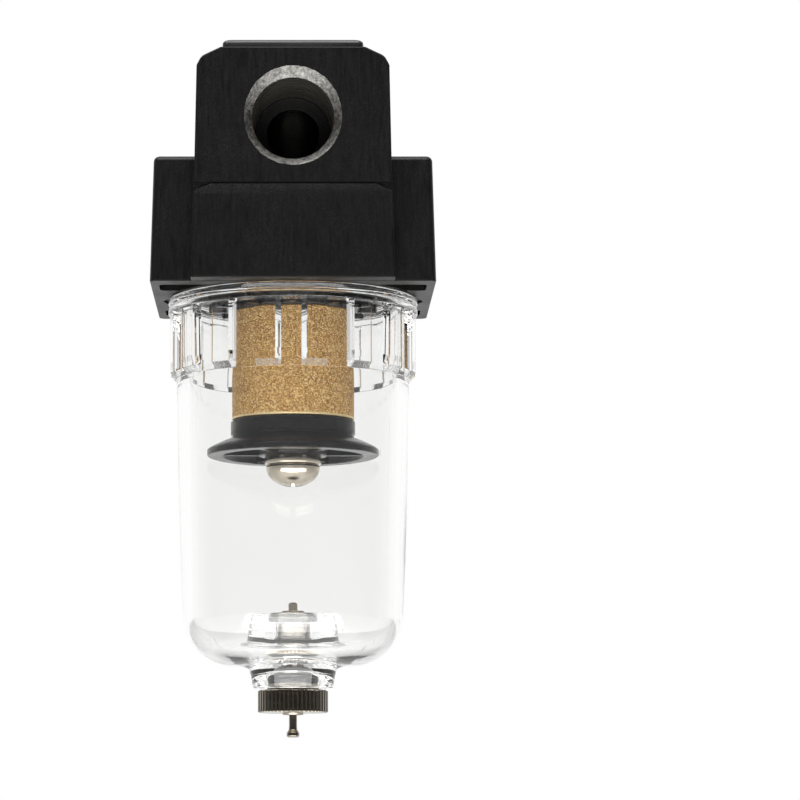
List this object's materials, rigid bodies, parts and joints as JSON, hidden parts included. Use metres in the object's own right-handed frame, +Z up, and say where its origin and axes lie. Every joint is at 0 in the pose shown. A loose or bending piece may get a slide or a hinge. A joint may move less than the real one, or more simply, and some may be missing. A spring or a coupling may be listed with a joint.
{
  "type": "compressed air filter",
  "caption": "Compressed air filter with a black cast head, threaded side ports, a clear screw-off bowl, a bronze element over a baffle and a push-to-drain valve.",
  "frame": {"origin": "where the axis through both ports crosses the upright axis of the bowl", "axes": "+Y along the port axis from the inlet port to the outlet port, +Z up along the bowl axis, +X to the right when facing the inlet port"},
  "size_m": [0.0402, 0.04, 0.0977],
  "materials": {
    "black_cast": "black painted die-cast aluminium, fine vertical grain",
    "black_plate": "satin black plate",
    "clear_polycarbonate": "clear moulded polycarbonate",
    "nitrile_rubber": "matt black rubber",
    "black_plastic": "glossy black moulding",
    "sintered_bronze": "granular sintered bronze",
    "gasket": "matt dark rubber-bonded fibre",
    "nickel_plate": "nickel-plated turned brass and steel",
    "spring_steel": "bright spring steel"
  },
  "bodies": {
    "head": {"head_body": "black_cast", "top_plate": "black_plate", "deflector": "black_plastic", "element_top_gasket": "gasket", "filter_element": "sintered_bronze", "element_bottom_gasket": "gasket", "baffle": "black_plastic", "screw_washer": "nickel_plate", "retaining_screw": "nickel_plate"},
    "bowl_seal": {"bowl_o_ring": "nitrile_rubber"},
    "bowl": {"bowl": "clear_polycarbonate", "drain_body": "nickel_plate", "drain_flange_gasket": "nitrile_rubber", "drain_o_ring": "nitrile_rubber", "drain_spring": "spring_steel"},
    "drain_washer": {"drain_washer": "nickel_plate"},
    "drain_nut": {"drain_nut": "nickel_plate"},
    "drain_pin": {"drain_pin": "nickel_plate", "drain_pin_seal": "nitrile_rubber", "drain_pin_clip": "spring_steel"}
  },
  "joints": [
    {"name": "bowl_drop", "type": "slide", "parent": "head", "child": "bowl_seal", "axis": [0, 0, -1], "range_m": [0, 0.0064]},
    {"name": "bowl_turn", "type": "hinge", "parent": "bowl_seal", "child": "bowl", "pos_m": [0, 0, -0.02], "axis": [0, 0, -1], "range_deg": [0, 1530]},
    {"name": "drain_washer_drop", "type": "slide", "parent": "bowl", "child": "drain_washer", "axis": [0, 0, -1], "range_m": [0, 0.0025]},
    {"name": "nut_turn", "type": "hinge", "parent": "drain_washer", "child": "drain_nut", "pos_m": [0, 0, -0.081], "axis": [0, 0, -1], "range_deg": [0, 1200.1]},
    {"name": "drain_push", "type": "slide", "parent": "bowl", "child": "drain_pin", "axis": [0, 0, 1], "range_m": [0, 0.0022], "stiffness_N_per_m": 300, "springref_m": -0.003, "deforming": ["drain_spring"]}
  ],
  "couplings": [
    {"joint": "bowl_drop", "follows": "bowl_turn", "m_per_rad": 0.00023873},
    {"joint": "nut_turn", "follows": "drain_washer_drop", "rad_per_m": 8377.6}
  ]
}
